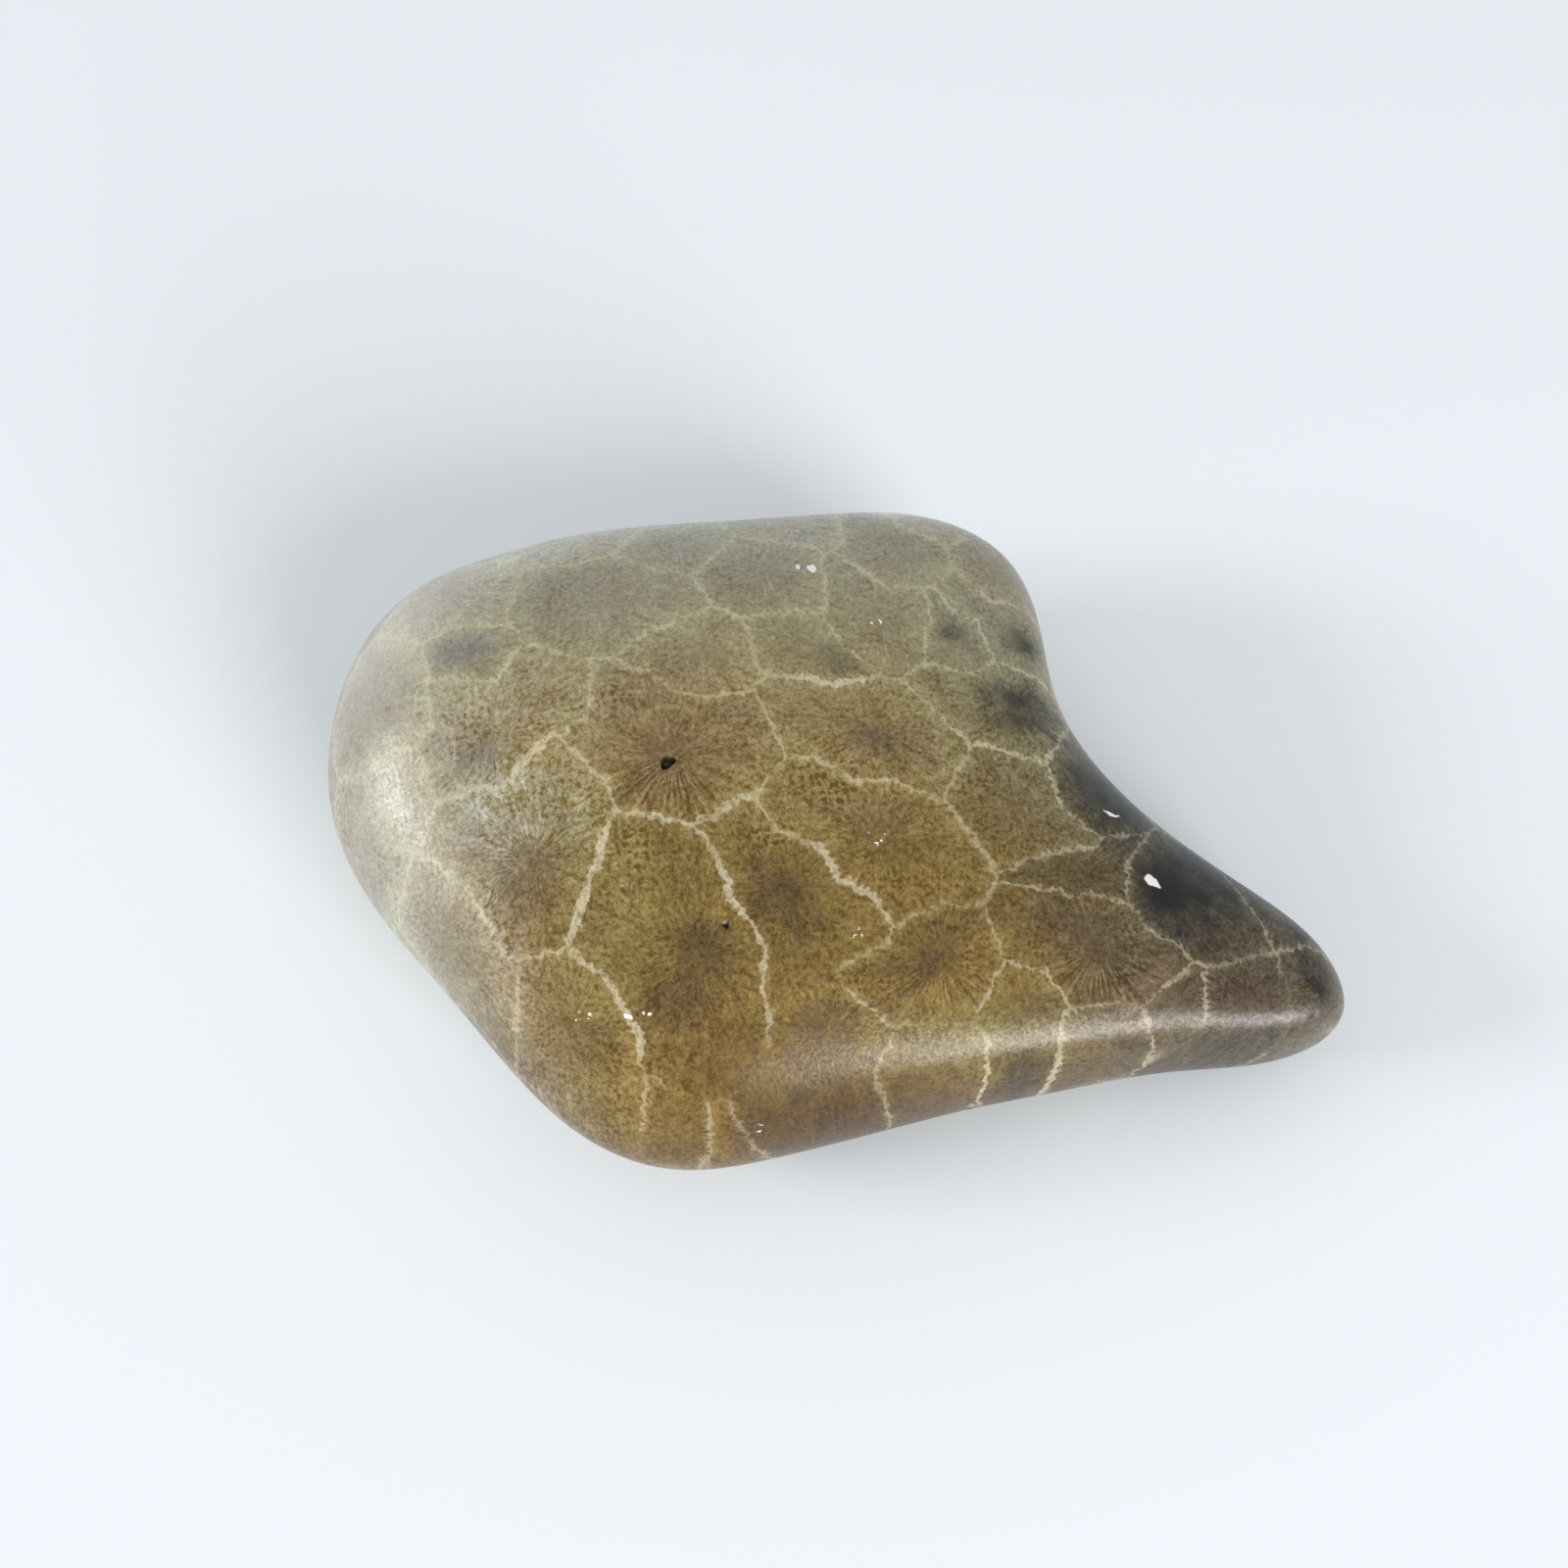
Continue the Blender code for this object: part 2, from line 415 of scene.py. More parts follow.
stone_finish = bpy.data.materials.new("polished_coral_limestone")
stone_finish.use_nodes = True
skin_rule = skin_tree(stone_finish)
print("The skin's tree has", len(skin_rule.nodes), "nodes")

# %% Press the skin
rough_skin = bpy.data.objects.new("rough_skin", skin_mesh)
bpy.context.scene.collection.objects.link(rough_skin)
pressing = rough_skin.modifiers.new("polished skin", "NODES")
pressing.node_group = skin_rule
sockets = {item.name: item.identifier for item in skin_rule.interface.items_tree
           if item.in_out == "INPUT"}
for name, value in SKIN_SIZES.items():
    pressing[sockets[name]] = value

stone_mesh = applied(rough_skin, "petoskey_stone")
bpy.data.objects.remove(rough_skin)
stone = bpy.data.objects.new("petoskey_stone", stone_mesh)
bpy.context.scene.collection.objects.link(stone)
stone_mesh.shade_smooth()
triangles = sum(len(face.vertices) - 2 for face in stone_mesh.polygons)
print("The finished skin has", triangles, "triangles")

# %% [markdown]
# ## The colony
# The coral lived as a colony: many-sided tubes, packed wall to wall, that fanned out from
# where the colony began.  The stone is a chip out of it.  A tube's place is therefore told
# once, on a flat plan laid through the colony at one height, and the tubes run to and from
# the colony's root below.  Each tube is a middle and a reach: walls form where two tubes'
# reaches balance, which is what crowded tubes do.  Long or bent tubes have a few helpers
# round their middle.  Blender's Voronoi texture packs cells at random and can't be told
# where one lies, so the list below says it, and the shader weighs the tubes itself.

# %% Say where the tubes stand
ROOT_DEPTH = 80.0      # mm from the ground down to the root of the colony
PLAN_HEIGHT = 20.0     # mm above the ground, where the plan is laid

TUBES = [
    # name, tone, then u, v and reach of the middle and of its helpers, in millimetres
    ("left end", 1.10, (-33.5, 7.5, 5.0), (-30.1, 5.0, 2.1)),
    ("left shoulder", 1.12, (-28.0, 16.5, 4.8), (-24.8, 14.5, 3.0)),
    ("small oval", 0.92, (-25.2, 9.1, 2.1)),
    ("back left", 1.00, (-15.5, 13.2, 5.3), (-19.0, 14.5, 3.0), (-11.2, 13.0, 3.0)),
    ("far back 1", 1.05, (-18.5, 23.0, 4.2)),
    ("far back 2", 1.00, (-9.5, 20.5, 3.8)),
    ("back middle", 0.94, (-3.0, 16.5, 4.6), (-0.2, 15.0, 2.3)),
    ("far back 3", 1.04, (-0.5, 24.5, 4.2), (1.9, 23.2, 2.4)),
    ("back right", 0.92, (6.0, 11.0, 3.9), (4.4, 15.0, 2.3), (8.3, 12.4, 2.4)),
    ("far right", 0.92, (8.3, 18.6, 3.8), (6.5, 22.9, 2.4)),
    ("far back 4", 1.10, (13.0, 26.0, 4.6)),
    ("back corner", 1.04, (18.2, 18.8, 4.6)),
    ("lobe", 0.95, (17.8, 11.3, 3.3), (13.3, 14.0, 1.5)),
    ("slice", 0.86, (12.2, 9.8, 2.6), (10.9, 12.6, 1.3)),
    ("above the pit", 1.06, (-8.0, 8.0, 3.7), (-11.3, 8.2, 2.4)),
    ("bright rim", 0.94, (0.8, 8.2, 2.6), (2.8, 7.4, 1.9), (-1.5, 9.8, 1.9)),
    ("crown right", 0.96, (4.0, 1.7, 4.0), (0.0, 3.0, 2.8), (7.6, 0.6, 3.6)),
    ("smoky", 0.90, (16.5, 4.0, 3.9), (11.3, 4.3, 2.6)),
    ("hollow", 0.92, (15.2, -4.3, 4.5), (20.0, -6.2, 1.6)),
    ("dark flank", 0.70, (24.0, -2.0, 4.6)),
    ("sliver", 0.62, (20.3, -9.8, 1.7), (25.0, -7.2, 1.5), (22.4, -10.3, 1.6),
     (17.0, -9.9, 0.9)),
    ("black eye", 0.72, (29.0, -11.3, 4.6), (32.5, -13.5, 4.4)),
    ("tail flank", 0.80, (39.8, -12.0, 4.4), (43.5, -15.5, 2.6)),
    ("rays", 0.92, (21.0, -16.2, 4.5), (16.5, -14.3, 3.2), (25.3, -18.0, 2.6)),
    ("before the hollow", 0.98, (8.0, -16.5, 4.2), (2.9, -17.3, 2.4)),
    ("front wedge", 0.98, (14.5, -20.0, 2.3), (14.8, -25.0, 2.6)),
    ("tail wall", 0.98, (21.5, -24.2, 3.6)),
    ("rubble 1", 0.85, (27.0, -20.8, 1.9)),
    ("rubble 2", 0.80, (34.0, -21.0, 3.2), (32.0, -26.0, 3.2)),
    ("tip", 0.82, (41.5, -20.5, 3.8)),
    ("amber", 0.98, (4.5, -7.4, 4.5), (8.3, -8.6, 3.2), (-0.7, -4.6, 3.0), (5.6, -11.0, 2.9)),
    ("middle", 0.90, (-3.0, -10.5, 4.0), (1.3, -13.2, 3.2), (-2.6, -16.0, 2.6),
     (-6.2, -7.1, 2.5)),
    ("front middle", 1.00, (-1.0, -22.0, 3.9), (-0.5, -27.5, 3.4)),
    ("long brown", 0.92, (-9.7, -15.0, 4.6), (-13.2, -10.7, 6.0), (-10.0, -20.5, 4.2),
     (-13.2, -16.5, 3.6)),
    ("front 1", 0.95, (-5.3, -27.5, 2.6)),
    ("yellow", 1.20, (-10.4, -28.6, 1.4), (-10.5, -31.5, 1.3)),
    ("front 2", 1.06, (-13.6, -28.0, 2.9)),
    ("front corner", 1.10, (-20.0, -19.5, 5.0), (-19.5, -26.0, 4.0)),
    ("pale flank", 1.12, (-30.0, -11.0, 4.6), (-27.5, -16.5, 2.8)),
    ("low flank 1", 1.05, (-38.0, -14.5, 4.6)),
    ("low flank 2", 1.00, (-32.5, -19.8, 3.4)),
    ("left low", 1.12, (-36.5, -3.0, 4.6)),
    ("glow", 1.15, (-31.7, -0.5, 3.2)),
    ("crown left", 1.02, (-23.3, 2.2, 3.7), (-18.7, 5.3, 2.9), (-26.0, 4.9, 2.1),
     (-26.2, 1.2, 2.9), (-17.4, 5.0, 2.2)),
    ("fan", 1.04, (-21.0, -7.0, 6.0), (-25.0, -5.0, 3.7), (-19.3, -2.3, 3.3)),
    ("pit", 0.96, (-10.2, -0.3, 4.8), (-13.0, 3.4, 3.2), (-15.2, 1.2, 2.2), (-6.5, 0.5, 3.4),
     (-14.6, 5.0, 2.0)),
    ("front wall", 1.08, (7.0, -25.5, 4.0)),
]

# Round the outside, where no side of the stone faces the light, a ring of tubes goes on.
OUTER_TUBES = [
    (-39, 20), (-29, 26.5), (-20, 31.5), (-10, 30), (1, 32.5), (21, 28), (26.5, 19.5), (27, 10),
    (33, 1), (45, -4), (49.5, -14), (50, -23), (42.5, -29), (33, -33), (23, -32), (11, -34),
    (1, -35), (-16, -36), (-28, -29), (-42, -22), (-46, -9), (-45, 5), (-43, 14),
]
OUTER_REACH = 4.5
OUTER_TONES = (0.95, 1.00, 1.05, 1.10)
for number, (u, v) in enumerate(OUTER_TUBES):
    tone = OUTER_TONES[number % len(OUTER_TONES)]
    TUBES.append((f"outer {number}", tone, (u, v, OUTER_REACH)))
print(len(TUBES), "tubes,", sum(len(tube) - 2 for tube in TUBES), "points on the plan")

# %% [markdown]
# ## Telling each face its nearest tubes
# A shader that weighs every tube at every spot would be slow, and at any spot only a few
# tubes can win.  So each small face of the skin is given its four nearest tubes as named
# attributes, which are numbers stored on the mesh, and the shader weighs only those.  A
# spot's score for a tube is its squared distance less the squared reach.  Dropping what all
# scores share leaves a plain product of three numbers with (u, v, 1).

# %% Write the nearest tubes on the faces
NEAR_TUBES = 4          # tubes a face knows
BENT_TUBES = 2          # of which this many bring their second nearest point too


def on_plan(points):
    """Where points of the skin, in metres, lie on the plan, as rows (u, v, 1)."""
    points = points / MM
    spread = (PLAN_HEIGHT + ROOT_DEPTH) / (points[:, 2] + ROOT_DEPTH)
    return np.stack((points[:, 0] * spread, points[:, 1] * spread, np.ones(len(points))), 1)


def read_vectors(items, field):
    """One row of three numbers for each point or face."""
    values = np.empty(3 * len(items), dtype=np.float32)
    items.foreach_get(field, values)
    return values.reshape(-1, 3).astype(float)


def write_vectors(mesh, name, domain, values):
    """Stores a row of three numbers on each point or face, under this name."""
    layer = mesh.attributes.new(name, "FLOAT_VECTOR", domain)
    layer.data.foreach_set("vector", np.ascontiguousarray(values, dtype=np.float32).ravel())


face_places = on_plan(read_vectors(stone_mesh.polygons, "center"))
skin_places = on_plan(read_vectors(stone_mesh.vertices, "co"))

rules, owners = [], []
for number, (_, _, *points) in enumerate(TUBES):
    for u, v, reach in points:
        rules.append((-2 * u, -2 * v, u * u + v * v - reach * reach))
        owners.append(number)
rules, owners = np.array(rules), np.array(owners)
scores = face_places @ rules.T

nearest = np.empty((len(face_places), len(TUBES)), dtype=int)
next_nearest = nearest.copy()
for number in range(len(TUBES)):
    mine = np.flatnonzero(owners == number)
    order = np.argsort(scores[:, mine], axis=1)
    nearest[:, number] = mine[order[:, 0]]
    next_nearest[:, number] = mine[order[:, min(1, len(mine) - 1)]]
ranking = np.argsort(np.take_along_axis(scores, nearest, 1), axis=1)

middles = np.array([(points[0][0], points[0][1], tone) for _, tone, *points in TUBES])
for rank in range(NEAR_TUBES):
    tube = ranking[:, rank]
    row = np.arange(len(tube))
    write_vectors(stone_mesh, f"tube {rank} spot", "FACE", rules[nearest[row, tube]])
    write_vectors(stone_mesh, f"tube {rank} middle", "FACE", middles[tube])
    if rank < BENT_TUBES:
        write_vectors(stone_mesh, f"tube {rank} next spot", "FACE",
                      rules[next_nearest[row, tube]])
print(len(face_places), "faces know their", NEAR_TUBES, "nearest tubes")

# %% [markdown]
# ## Growing the tubes
# For every spot of the stone the group below finds its place on the plan, bends that place a
# little so that no wall is ruler-straight, and then weighs the near tubes, keeping the best
# and the second best.  Where the two are equal there is a wall.  Both scores are squared
# lengths, so half their difference over the distance between the two points is the true
# distance from the wall, and walls come out equally thick everywhere.

# %% Wire the colony
BEND_LENGTH, BEND_REACH = 5.0, 0.9      # mm: slow bends of the walls
JAG_LENGTH, JAG_REACH = 0.9, 1.00       # mm: their small steps
FAR_AWAY = 1.0e6


def colony_group():
    """The group that says, for each spot, in which tube it lies and how far its wall is."""
    tree = bpy.data.node_groups.new("coral_colony", "ShaderNodeTree")
    face = tree.interface
    face.new_socket("Millimetres", in_out="INPUT", socket_type="NodeSocketVector")
    for name, kind in (("Plan", "Vector"), ("From Middle", "Vector"), ("Middle", "Vector"),
                       ("Wall", "Float"), ("Tone", "Float"), ("Wall Mark", "Vector")):
        face.new_socket(name, in_out="OUTPUT", socket_type=f"NodeSocket{kind}")
    kit = Wiring(tree)
    place = kit.node("NodeGroupInput").outputs[0]

    def drift(length, reach):
        swing = kit.vector("SUBTRACT", kit.noise(place, length)["Color"], (0.5, 0.5, 0.5))
        return kit.vector("SCALE", swing, scale=reach)

    bends = kit.vector("ADD", drift(BEND_LENGTH, BEND_REACH), drift(JAG_LENGTH, JAG_REACH))
    bent = kit.vector("ADD", place, bends)
    x, y, z = kit.split(bent)
    spread = kit.number("ADD", z, ROOT_DEPTH)
    spread = kit.number("DIVIDE", PLAN_HEIGHT + ROOT_DEPTH, spread)
    u = kit.number("MULTIPLY", x, spread)
    v = kit.number("MULTIPLY", y, spread)
    plan = kit.gather(u, v, 1.0)

    best = second = FAR_AWAY
    best_spot = second_spot = middle = (0.0, 0.0, 0.0)
    for rank in range(NEAR_TUBES):
        spot = kit.attribute(f"tube {rank} spot")
        score = kit.vector("DOT_PRODUCT", plan, spot)
        if rank < BENT_TUBES:
            other = kit.attribute(f"tube {rank} next spot")
            here = kit.vector("DOT_PRODUCT", plan, other)
            spot = kit.pick(kit.number("LESS_THAN", here, score), spot, other)
            score = kit.number("MINIMUM", here, score)
        wins = kit.number("LESS_THAN", score, best)
        loser = kit.number("MAXIMUM", score, best)
        loser_spot = kit.pick(wins, spot, best_spot)
        best_spot = kit.pick(wins, best_spot, spot)
        middle = kit.pick(wins, middle, kit.attribute(f"tube {rank} middle"))
        best = kit.number("MINIMUM", score, best)
        runs_up = kit.number("LESS_THAN", loser, second)
        second_spot = kit.pick(runs_up, second_spot, loser_spot)
        second = kit.number("MINIMUM", loser, second)

    best_spot = kit.vector("MULTIPLY", best_spot, (-0.5, -0.5, 0.0))
    second_spot = kit.vector("MULTIPLY", second_spot, (-0.5, -0.5, 0.0))
    apart = kit.vector("DISTANCE", best_spot, second_spot)
    wall = kit.number("SUBTRACT", second, best)
    wall = kit.number("DIVIDE", wall, kit.number("MULTIPLY", apart, 2.0))
    mark = kit.vector("ADD", best_spot, second_spot)
    middle_u, middle_v, tone = kit.split(middle)
    straight = kit.vector("SUBTRACT", kit.gather(u, v, 0.0), bends)
    outwards = kit.vector("SUBTRACT", straight, kit.gather(middle_u, middle_v, 0.0))
    outwards = kit.vector("MULTIPLY", outwards, (1.0, 1.0, 0.0))

    leave = kit.node("NodeGroupOutput")
    for name, value in (("Plan", kit.gather(u, v, 0.0)), ("From Middle", outwards),
                        ("Middle", middle), ("Wall", wall), ("Tone", tone), ("Wall Mark", mark)):
        kit.join(value, leave.inputs[name])
    return tree


colony = colony_group()
print("The colony is wired with", len(colony.nodes), "nodes")

# %% [markdown]
# ## Stains, bright walls, tints and white grains
# Old oil and mineral stains darken some tubes, above all down the hollow flank towards the
# tail.  Some walls stand out bright and others are all but lost, the mud is tinted in broad
# patches, and tiny grains of white calcite catch the eye.  Painting them by hand would need
# a picture, so each is an oval on the plan instead.  The soft ones change slowly, so they
# are worked out once for every point of the skin and stored there: a list of ovals is
# multiplied into one mask, so that overlaps never pass full strength.  The sharp ones need
# a finer edge than the skin's points could hold, so each face is told the one oval that is
# nearest to it, and the shader draws that.
# A few of the tints are painted light: painted shade low on the flanks and at the front's foot,
# and painted sheen on the pale rims and the front shoulder.  Some white grains are painted
# glints.

# %% List the stains
STAINS = [
    # u, v, half length, half width, turn in degrees, strength
    (28.1, -11.1, 3.8, 4.2, 0, 1.00),      # the black eye
    (30.5, -13.2, 5.2, 4.8, 0, 0.50),
    (25.0, -2.2, 6.2, 4.8, -35, 0.88),     # down the hollow flank
    (17.8, 4.3, 5.2, 2.7, 0, 0.74),
    (34.5, -8.6, 7.5, 4.8, -32, 0.82),
    (18.5, 10.8, 2.6, 2.2, 20, 0.55),      # eye of the lobe
    (12.0, 11.0, 1.9, 1.6, 0, 0.40),
    (40.6, -20.0, 2.2, 3.4, 0, 0.55),      # round the tip
    (36.0, -24.5, 6.0, 3.0, 0, 0.25),
    (41.5, -15.5, 3.4, 3.0, 0, 0.50),
]
SHADES = [
    # brown and dull rather than black
    (-9.2, -14.6, 3.4, 2.4, -35, 0.90),
    (-11.8, -18.0, 3.6, 2.8, 40, 0.80),
    (-3.4, -11.4, 3.6, 3.8, -20, 0.95),
    (2.7, 7.4, 2.2, 1.6, -30, 0.90),
    (4.8, 0.7, 2.8, 1.4, -10, 0.85),
    (4.0, -6.5, 4.5, 3.0, -20, 0.35),
    (-10.8, -1.5, 4.6, 3.6, 0, 0.40),
    (-24.6, 0.4, 1.9, 2.6, 0, 0.60),
    (-21.0, -8.0, 4.4, 3.6, 20, 0.45),
    (6.8, -15.8, 4.8, 2.6, 25, 0.80),
    (11.0, -13.0, 4.4, 1.8, 10, 0.60),
    (18.5, -13.2, 5.0, 3.0, -15, 0.75),
    (22.0, -16.5, 5.0, 3.0, -15, 0.50),
    (-3.7, -25.8, 1.2, 1.0, 40, 0.90),
    (-1.2, -20.0, 2.4, 1.2, 30, 0.70),
    (14.8, -25.8, 2.4, 2.8, 0, 0.80),
    (24.0, -24.0, 2.0, 0.9, -15, 0.80),
    (32.0, -20.0, 7.0, 2.6, 0, 0.60),
    (-18.6, -20.5, 3.2, 2.6, 10, 0.45),
    # these last two darken the strip along the front shoulder where the lamp's band falls:
    # partly brown mud, partly painted shade
    (22.0, -20.5, 9.0, 1.8, 0, 0.50),
    (0.0, -20.2, 6.5, 1.7, 0, 0.35),
]
print(len(STAINS), "dark stains and", len(SHADES), "brown ones")

# %% List the walls that stand out, and those that fade
BRIGHT_WALLS = [
    # the same six numbers as for a stain, here and in the next three lists
    (1.8, 5.6, 3.6, 1.2, -5, 1.00), (-17.0, -8.8, 1.3, 4.8, -26, 1.00),
    (0.9, -9.1, 6.2, 1.3, -47, 0.60), (-7.0, -13.0, 1.4, 7.6, 14, 0.80),
    (-25.6, -2.1, 3.4, 1.3, 5, 0.50), (-20.6, 0.6, 2.8, 1.2, 40, 0.60),
    (14.4, 11.6, 4.8, 1.0, -52, 0.20), (-7.0, 11.0, 4.0, 1.0, 25, 0.70),
    (-12.0, -4.6, 2.6, 1.0, -30, 0.60), (-6.0, -4.4, 2.0, 1.0, 10, 0.60),
    (10.0, -0.5, 5.0, 1.0, -40, 0.35), (16.0, 0.8, 5.0, 1.0, -5, 0.50),
    (11.6, -25.0, 1.0, 3.6, 0, 0.60), (17.8, -25.0, 1.0, 3.6, 0, 0.80),
    (-25.6, -14.5, 1.6, 5.5, -10, 0.90), (-16.2, -17.5, 1.6, 6.0, 17, 0.80),
]
FAINT_WALLS = [
    (-2.2, -18.2, 3.4, 1.4, 15, 1.00), (-11.0, -24.6, 3.0, 1.2, -20, 0.90),
    (-6.2, -24.0, 2.4, 2.4, 0, 0.95), (-4.2, -27.5, 2.2, 4.5, 0, 0.95),
    (-17.0, -29.5, 2.0, 2.4, 0, 0.90),
    (8.0, -21.5, 4.0, 1.2, 0, 0.80), (37.7, -21.5, 1.2, 3.5, 0, 0.60),
    (28.4, -23.6, 2.0, 1.0, 50, 0.95), (40.5, -24.3, 4.0, 1.4, 10, 0.80),
    (33.6, -17.9, 3.4, 0.9, 5, 0.45),
    (-31.5, -1.5, 3.0, 5.0, 20, 0.60), (-24.0, 21.0, 6.0, 3.0, 30, 0.40),
    (9.3, -13.1, 5.6, 1.5, 16, 0.45),
]
DEEP_RAYS = [
    # where the blades show best
    (-10.8, -3.0, 4.4, 4.0, 0, 1.0), (20.5, -18.2, 6.0, 2.6, -12, 1.0),
    (-21.5, -6.0, 3.8, 3.2, 0, 0.7), (21.0, 2.0, 3.0, 2.0, 0, 0.5),
    (-2.5, 16.2, 3.5, 2.5, 0, 0.4), (23.0, -8.8, 3.0, 1.6, 25, 0.6),
    (-15.5, 13.0, 4.5, 3.0, 0, 0.3), (7.5, -18.5, 4.0, 1.8, 0, 0.9),
]
DOT_PATCHES = [
    # where plates cross the blades, and leave rows of dots
    (0.5, -2.5, 3.6, 2.6, -35, 1.0), (-4.0, -6.6, 2.4, 1.6, 10, 0.9),
    (-18.0, -2.6, 3.2, 2.4, -50, 0.4), (-14.8, 4.2, 2.6, 1.6, 0, 0.8),
    (-13.6, -7.2, 2.0, 2.8, 0, 0.8), (1.0, -18.4, 2.4, 1.6, -40, 0.9),
    (-24.6, 4.0, 2.0, 3.0, 0, 0.6), (-24.0, -12.0, 3.0, 1.4, -50, 0.7),
    (4.0, 2.8, 3.0, 1.4, 0, 0.4), (13.0, -6.5, 3.0, 1.6, 20, 0.4),
    (8.0, -11.5, 2.6, 1.6, 20, 0.4), (-17.6, -22.0, 2.6, 2.0, 0, 0.4),
]
print(len(BRIGHT_WALLS), "bright walls,", len(FAINT_WALLS), "faint ones,", len(DEEP_RAYS),
      "patches of rays and", len(DOT_PATCHES), "of dots")

# %% List the tints of the ground
# Most tints are the mud's own colour; a few are painted shade or painted sheen, marked below.
WASHES = [
    # what it is, u, v, half length, half width, turn, how it tints the ground
    ("grey fan", -20.8, -3.8, 6.4, 4.4, -25, (1.22, 1.42, 1.90)),
    ("olive strip between fan and front", -17.6, -13.0, 3.2, 15.0, 0, (1.02, 1.12, 1.30)),
    # paler and bluer on the left shoulder: partly the mud's colour, partly painted sheen of the
    # sky
    ("pale left shoulder", -31.0, 15.0, 9.0, 7.0, 50, (1.33, 1.34, 1.44)),
    # lighter, greyer rims at the back: partly the mud's colour, partly painted sheen where the
    # far edge mirrors the sky
    ("grey rim at the back left", -20.5, 23.0, 8.6, 5.4, 18, (1.30, 1.32, 1.34)),
    ("grey rim at the back", 12.0, 27.0, 9.0, 3.8, 0, (1.38, 1.44, 1.50)),
    ("brown round the pit", -10.2, 2.6, 7.2, 6.4, 0, (0.86, 0.78, 0.69)),
    ("green grey of the hollow flank", 16.0, 3.0, 10.0, 14.0, 0, (0.89, 1.02, 1.25)),
    ("amber dust on the left flank", -30.0, -12.5, 4.6, 3.4, -40, (0.82, 0.80, 0.72)),
    # painted shade low on the left flank, where it turns under
    ("painted shade low on the left flank", -29.3, -22.3, 9.0, 5.4, -50, (0.50, 0.44, 0.40)),
    ("smooth grey oval", -25.2, 9.3, 2.7, 1.5, 14, (0.76, 0.80, 0.98)),
    ("yellow tube at the foot", -10.6, -30.4, 1.5, 3.6, 0, (1.14, 1.14, 0.60)),
    ("deep amber along the front", -3.5, -25.4, 11.5, 6.0, 0, (0.69, 0.59, 0.20)),
    # greyer along the front shoulder, where the lamp's band runs: partly the mud's colour,
    # partly painted sheen
    ("grey shoulder of the front wall", 11.0, -22.8, 13.0, 3.6, 0, (0.89, 1.04, 1.02)),
    ("yellow front half", 0.0, -13.0, 20.0, 11.0, 0, (1.00, 0.99, 0.78)),
    ("grey front corner", -20.5, -25.5, 3.8, 4.8, 0, (0.92, 1.04, 1.20)),
    ("light top of the long brown tube", -14.0, -10.0, 3.6, 5.2, 0, (1.22, 1.32, 1.36)),
    ("cool flank of the tail", 29.0, -6.5, 10.0, 6.0, -42, (0.87, 1.03, 1.09)),
    # painted shade along the foot of the front wall, where it turns under towards the ground
    ("painted shade at the foot of the front wall", 12.0, -31.3, 40.0, 7.4, 2, (0.30, 0.22, 0.07)),
    ("tan back", -8.0, 36.0, 40.0, 7.0, 0, (0.84, 0.76, 0.60)),
    ("tan far end", -47.0, 8.0, 7.0, 26.0, 12, (0.94, 0.83, 0.66)),
    ("red rubble", 31.0, -20.5, 8.0, 3.0, -5, (1.14, 1.00, 0.92)),
]
print(len(WASHES), "tints of the ground")

# %% List the white grains and painted glints
GRAINS_AND_GLINTS = [
    # u, v, half length, half width, turn in degrees
    # partly white calcite, partly painted glints of the lamps on small crystal faces
    (26.8, -10.6, 0.95, 0.42, -35), (24.3, -4.1, 0.90, 0.20, -20), (1.1, 16.8, 0.50, 0.42, 60),
    (0.2, 17.2, 0.28, 0.28, 0), (-15.4, -18.8, 0.36, 0.20, 0), (-14.3, -18.7, 0.18, 0.12, -50),
    (-13.7, -18.7, 0.22, 0.22, 0), (6.1, 11.4, 0.09, 0.42, 0), (5.3, 11.3, 0.09, 0.14, 0),
]
CRUMBS = [
    # clusters of much smaller grains
    (4.0, -7.1, 0.8, 1.1, 20), (2.1, -14.4, 0.55, 0.75, -60), (-19.0, -18.8, 1.1, 0.5, 5),
    (-7.1, -28.3, 0.6, 0.4, 30),
]
print(len(GRAINS_AND_GLINTS), "white grains and", len(CRUMBS), "clusters of crumbs")

# %% Write the ovals on the skin
def oval_rows(u, v, half_length, half_width, turn):
    """Two rows: their products with (u, v, 1) run from -1 to 1 along and across the oval."""
    angle = math.radians(turn)
    along = (math.cos(angle) / half_length, math.sin(angle) / half_length)
    across = (-math.sin(angle) / half_width, math.cos(angle) / half_width)
    return [(*way, -way[0] * u - way[1] * v) for way in (along, across)]


def oval_sizes(places, ovals):
    """For each place and oval, 0 at the oval's middle and 1 on its edge."""
    rows = np.array([oval_rows(*oval[:5]) for oval in ovals])
    return np.linalg.norm(np.einsum("pk,onk->pon", places, rows), axis=2)


# Where an oval starts to fade and where it is gone; 1 is its outline.
SOFT_EDGE, BRIGHT_EDGE, FAINT_EDGE = (0.2, 1.3), (0.5, 1.3), (0.7, 1.2)


def soft_mask(ovals, edge=SOFT_EDGE):
    """1 in the ovals and 0 outside, for each point of the skin."""
    start, end = edge
    share = (oval_sizes(skin_places, ovals) - start) / (end - start)
    share = np.clip(share, 0.0, 1.0)
    share = share * share * (3.0 - 2.0 * share)
    held = np.array([oval[5] for oval in ovals])
    return 1.0 - np.prod(1.0 - held * (1.0 - share), axis=1)


def write_nearest_oval(name, ovals):
    """Stores the rows of the oval that is nearest to each face."""
    closest = oval_sizes(face_places, ovals).argmin(axis=1)
    rows = np.array([oval_rows(*oval[:5]) for oval in ovals])[closest]
    write_vectors(stone_mesh, f"{name} along", "FACE", rows[:, 0])
    write_vectors(stone_mesh, f"{name} across", "FACE", rows[:, 1])


